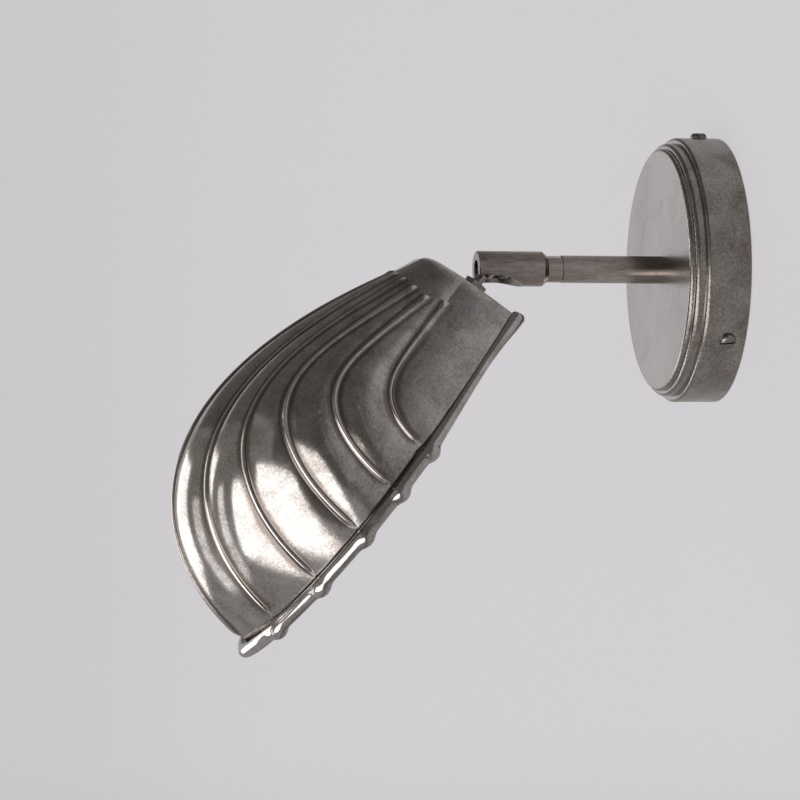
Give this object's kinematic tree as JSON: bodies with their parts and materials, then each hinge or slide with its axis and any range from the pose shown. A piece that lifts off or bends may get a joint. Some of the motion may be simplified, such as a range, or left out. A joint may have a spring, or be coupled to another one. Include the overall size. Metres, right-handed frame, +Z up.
{
  "type": "wall sconce",
  "caption": "Wall sconce with a ribbed shell shade on a ball knuckle, a short arm and a round backplate.",
  "frame": {"origin": "centre of the wall plate's two screw slots, on the wall", "axes": "+Y into the wall, +Z up, +X to the side that the picture is taken from; the arm stands out along -Y"},
  "size_m": [0.1274, 0.2503, 0.2328],
  "materials": {
    "antique_metal": "antique pewter, mottled patina, satin",
    "dark_screw": "blackened steel, worn edges",
    "zinc_steel": "zinc plated, dull",
    "spring_steel": "bright rolled steel",
    "brass": "turned brass",
    "nylon": "moulded, off white",
    "seat_plastic": "acetal, dull",
    "phenolic": "moulded, semi gloss black",
    "ceramic_base": "glazed, cream",
    "lamp_aluminium": "drawn cap, satin",
    "lamp_glass": "frosted inside"
  },
  "bodies": {
    "wall_side": {"wall_plate": "zinc_steel", "backplate_cover": "antique_metal", "cover_screws": "dark_screw", "earth_washer": "zinc_steel", "earth_screw": "brass", "terminal_block": "nylon", "terminal_screws": "brass", "block_fixing_screw": "zinc_steel", "arm_tube": "antique_metal", "arm_washer": "zinc_steel", "arm_nut": "zinc_steel", "wire_bush": "nylon", "arm_collar": "antique_metal", "swivel_screw": "brass"},
    "barrel": {"knuckle_barrel": "antique_metal", "barrel_bush": "brass", "ball_seat": "seat_plastic", "disc_springs": "spring_steel", "seat_plug": "brass"},
    "shade": {"ball_stem": "antique_metal", "lock_nut": "antique_metal", "stem_washer": "dark_screw", "shade": "antique_metal", "inner_washer": "zinc_steel", "inner_nut": "zinc_steel", "holder_cap": "phenolic", "holder_base": "ceramic_base", "holder_skirt": "phenolic", "screw_shell": "brass", "centre_contact": "brass", "lamp_cap": "lamp_aluminium", "lamp_tip": "brass", "lamp_glass": "lamp_glass"}
  },
  "joints": [
    {"name": "swivel", "type": "hinge", "parent": "wall_side", "child": "barrel", "pos_m": [0, -0.0789, 0], "axis": [0, -1, 0], "range_deg": [-160, 160]},
    {"name": "tilt", "type": "hinge", "parent": "barrel", "child": "shade", "pos_m": [0, -0.106, 0], "axis": [-1, 0, 0], "range_deg": [-44, 50]}
  ]
}
